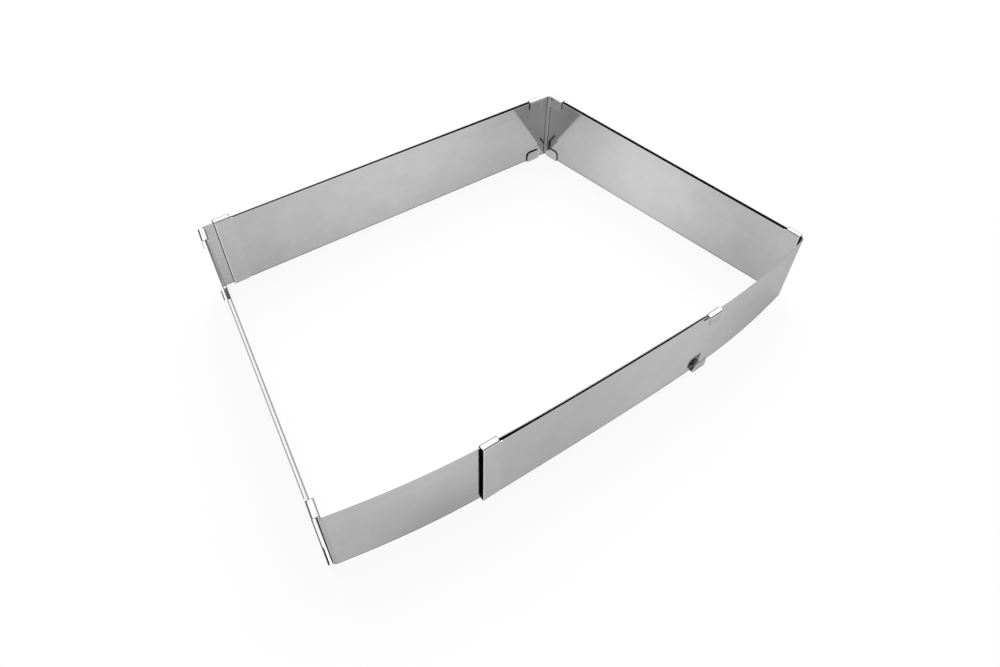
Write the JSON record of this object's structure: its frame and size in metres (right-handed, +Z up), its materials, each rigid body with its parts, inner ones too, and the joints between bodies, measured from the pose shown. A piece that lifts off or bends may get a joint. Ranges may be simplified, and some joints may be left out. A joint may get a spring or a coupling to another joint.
{
  "type": "adjustable cake frame",
  "caption": "Bottomless rectangular baking ring of interlocking bent steel strips whose hooked ends slide along each other to set its length and width",
  "frame": {"origin": "middle of the underside of the whole frame at rest", "axes": "+X along the rear wall to the right, +Y from the bowed front wall to the rear wall, +Z up"},
  "size_m": [0.3382, 0.2264, 0.052],
  "materials": {
    "strip_steel": "bright polished"
  },
  "bodies": {
    "rear_left": {"rear_left_angle": "strip_steel"},
    "rear_right": {"rear_right_angle": "strip_steel"},
    "front_right": {"front_right_angle": "strip_steel"},
    "front_left": {"front_left_angle": "strip_steel"}
  },
  "joints": [
    {"name": "rear_slide", "type": "slide", "parent": "rear_left", "child": "rear_right", "axis": [1, 0, 0], "range_m": [-0.004, 0.075]},
    {"name": "left_slide", "type": "slide", "parent": "rear_left", "child": "front_left", "axis": [-0.1639, -0.9865, 0], "range_m": [0, 0.176]},
    {"name": "right_slide", "type": "slide", "parent": "rear_right", "child": "front_right", "axis": [0.2019, -0.9794, 0], "range_m": [0, 0.1774]}
  ],
  "couplings": [
    {"joint": "right_slide", "follows": "left_slide", "ratio": 1.0072}
  ]
}
